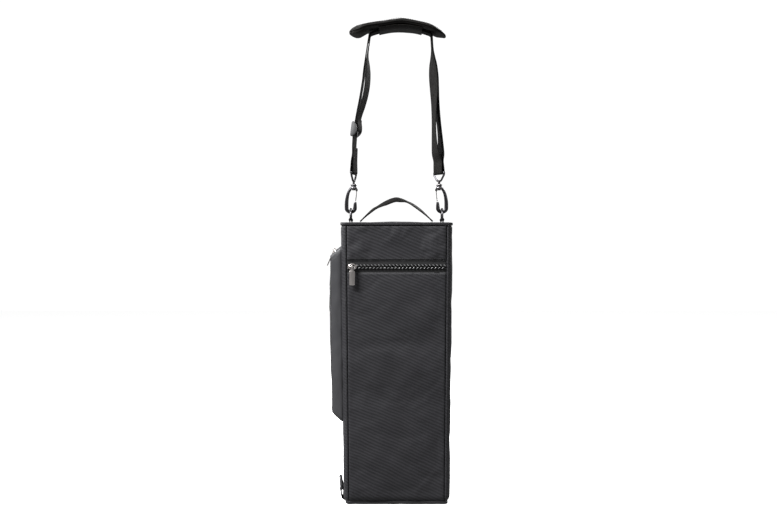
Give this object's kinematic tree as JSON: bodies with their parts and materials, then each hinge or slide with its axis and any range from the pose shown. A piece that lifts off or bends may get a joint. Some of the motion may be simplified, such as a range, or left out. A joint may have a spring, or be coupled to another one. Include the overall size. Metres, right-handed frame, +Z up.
{
  "type": "padded carry bag",
  "caption": "Tall padded box-shaped carry bag with a zipped face, a zipped side pocket, a top handle, rings and a padded shoulder strap on snap hooks.",
  "frame": {"origin": "centre of the underside of the bag's foot", "axes": "+Z up the bag, -Y out of the zipped face, -X out of the pocket side"},
  "size_m": [0.1826, 0.086, 0.6929],
  "materials": {
    "cloth": "charcoal-black twill with a soft sheen",
    "gusset": "smooth dark grey cloth",
    "binding": "ribbed black binding tape",
    "webbing": "ribbed black webbing",
    "foam": "closed-cell padding",
    "lining": "grey coated lining",
    "tape": "black woven zip tape",
    "coil": "black nylon coil",
    "metal": "light gunmetal",
    "dark_metal": "dark gunmetal plate",
    "steel": "bare sprung steel",
    "pad": "fine-grained brown-black leatherette",
    "plastic": "satin black moulding"
  },
  "bodies": {
    "root": {"back_panel": "cloth", "front_panel_lower": "cloth", "front_panel_upper": "cloth", "side_panel_left": "cloth", "side_panel_right": "cloth", "top_panel": "cloth", "bottom_panel": "cloth", "pocket_panel": "cloth", "pocket_gusset": "gusset", "top_binding": "binding", "bottom_binding": "binding", "back_foam": "foam", "front_foam_lower": "foam", "front_foam_upper": "foam", "left_foam": "foam", "right_foam": "foam", "top_foam": "foam", "bottom_foam": "foam", "lining": "lining", "front_zip_tape_upper": "tape", "front_zip_tape_lower": "tape", "pocket_zip_tape_upper": "tape", "pocket_zip_tape_lower": "tape", "front_zip_coil_upper": "coil", "front_zip_coil_lower": "coil", "pocket_zip_coil_upper": "coil", "pocket_zip_coil_lower": "coil", "ring_tab_left": "webbing", "ring_tab_right": "webbing", "lower_ring_tab": "webbing"},
    "front_slider": {"front_zip_slider": "metal"},
    "front_pull": {"front_zip_pull": "metal"},
    "pocket_slider": {"pocket_zip_slider": "metal"},
    "pocket_pull": {"pocket_zip_pull": "metal"},
    "handle": {"handle_webbing": "webbing"},
    "ring_left": {"ring_left": "dark_metal"},
    "ring_right": {"ring_right": "dark_metal"},
    "lower_ring": {"lower_ring": "plastic"},
    "strap": {"strap_webbing": "webbing", "strap_return_ply": "webbing", "hook_left_eye": "dark_metal", "hook_right_eye": "dark_metal"},
    "hook_left": {"hook_left_body": "dark_metal"},
    "hook_right": {"hook_right_body": "dark_metal"},
    "gate_left": {"hook_left_gate": "steel"},
    "gate_right": {"hook_right_gate": "steel"},
    "adjuster": {"adjuster": "plastic"},
    "pad": {"pad_cover": "pad", "pad_foam": "foam", "pad_lining": "pad", "pad_sleeve": "webbing"}
  },
  "joints": [
    {"name": "front_zip_slide", "type": "slide", "parent": "root", "child": "front_slider", "axis": [1, 0, 0], "range_m": [0, 0.1256]},
    {"name": "front_pull_swing", "type": "hinge", "parent": "front_slider", "child": "front_pull", "pos_m": [-0.0628, -0.044, 0.337], "axis": [-1, 0, 0], "range_deg": [0, 150]},
    {"name": "pocket_zip_slide", "type": "slide", "parent": "root", "child": "pocket_slider", "axis": [0, -1, 0], "range_m": [0, 0.039]},
    {"name": "pocket_pull_swing", "type": "hinge", "parent": "pocket_slider", "child": "pocket_pull", "pos_m": [-0.09104, 0.0215, 0.36194], "axis": [0, 1, 0], "range_deg": [0, 120]},
    {"name": "handle_swing", "type": "hinge", "parent": "root", "child": "handle", "pos_m": [0, 0, 0.404], "axis": [1, 0, 0], "range_deg": [-75, 75]},
    {"name": "ring_left_tilt", "type": "hinge", "parent": "root", "child": "ring_left", "pos_m": [-0.066, 0, 0.4045], "axis": [0, 1, 0], "range_deg": [-4, 4]},
    {"name": "ring_right_tilt", "type": "hinge", "parent": "root", "child": "ring_right", "pos_m": [0.066, 0, 0.4045], "axis": [0, 1, 0], "range_deg": [-4, 4]},
    {"name": "lower_ring_swing", "type": "hinge", "parent": "root", "child": "lower_ring", "pos_m": [-0.0784, -0.008, 0.019], "axis": [0, -1, 0], "range_deg": [-8, 130]},
    {"name": "strap_swing", "type": "hinge", "parent": "root", "child": "strap", "pos_m": [0, 0, 0.4085], "axis": [1, 0, 0], "range_deg": [-60, 60], "stiffness_Nm_per_rad": 0.6},
    {"name": "hook_left_swivel", "type": "hinge", "parent": "strap", "child": "hook_left", "pos_m": [-0.0619, 0, 0.452], "axis": [0, 0, 1], "range_deg": [-15, 15]},
    {"name": "hook_right_swivel", "type": "hinge", "parent": "strap", "child": "hook_right", "pos_m": [0.0619, 0, 0.452], "axis": [0, 0, 1], "range_deg": [-15, 15]},
    {"name": "gate_left_open", "type": "hinge", "parent": "hook_left", "child": "gate_left", "pos_m": [-0.0577, 0, 0.448], "axis": [0, 1, 0], "range_deg": [0, 22], "stiffness_Nm_per_rad": 0.01},
    {"name": "gate_right_open", "type": "hinge", "parent": "hook_right", "child": "gate_right", "pos_m": [0.0577, 0, 0.448], "axis": [0, -1, 0], "range_deg": [0, 22], "stiffness_Nm_per_rad": 0.01},
    {"name": "adjuster_slide", "type": "slide", "parent": "strap", "child": "adjuster", "axis": [0.1399, 0, 0.9902], "range_m": [0, 0.065], "deforming": ["strap_return_ply"]},
    {"name": "pad_slide", "type": "hinge", "parent": "strap", "child": "pad", "pos_m": [0.006, 0, 0.561], "axis": [0, 1, 0], "range_deg": [-4, 4]}
  ]
}
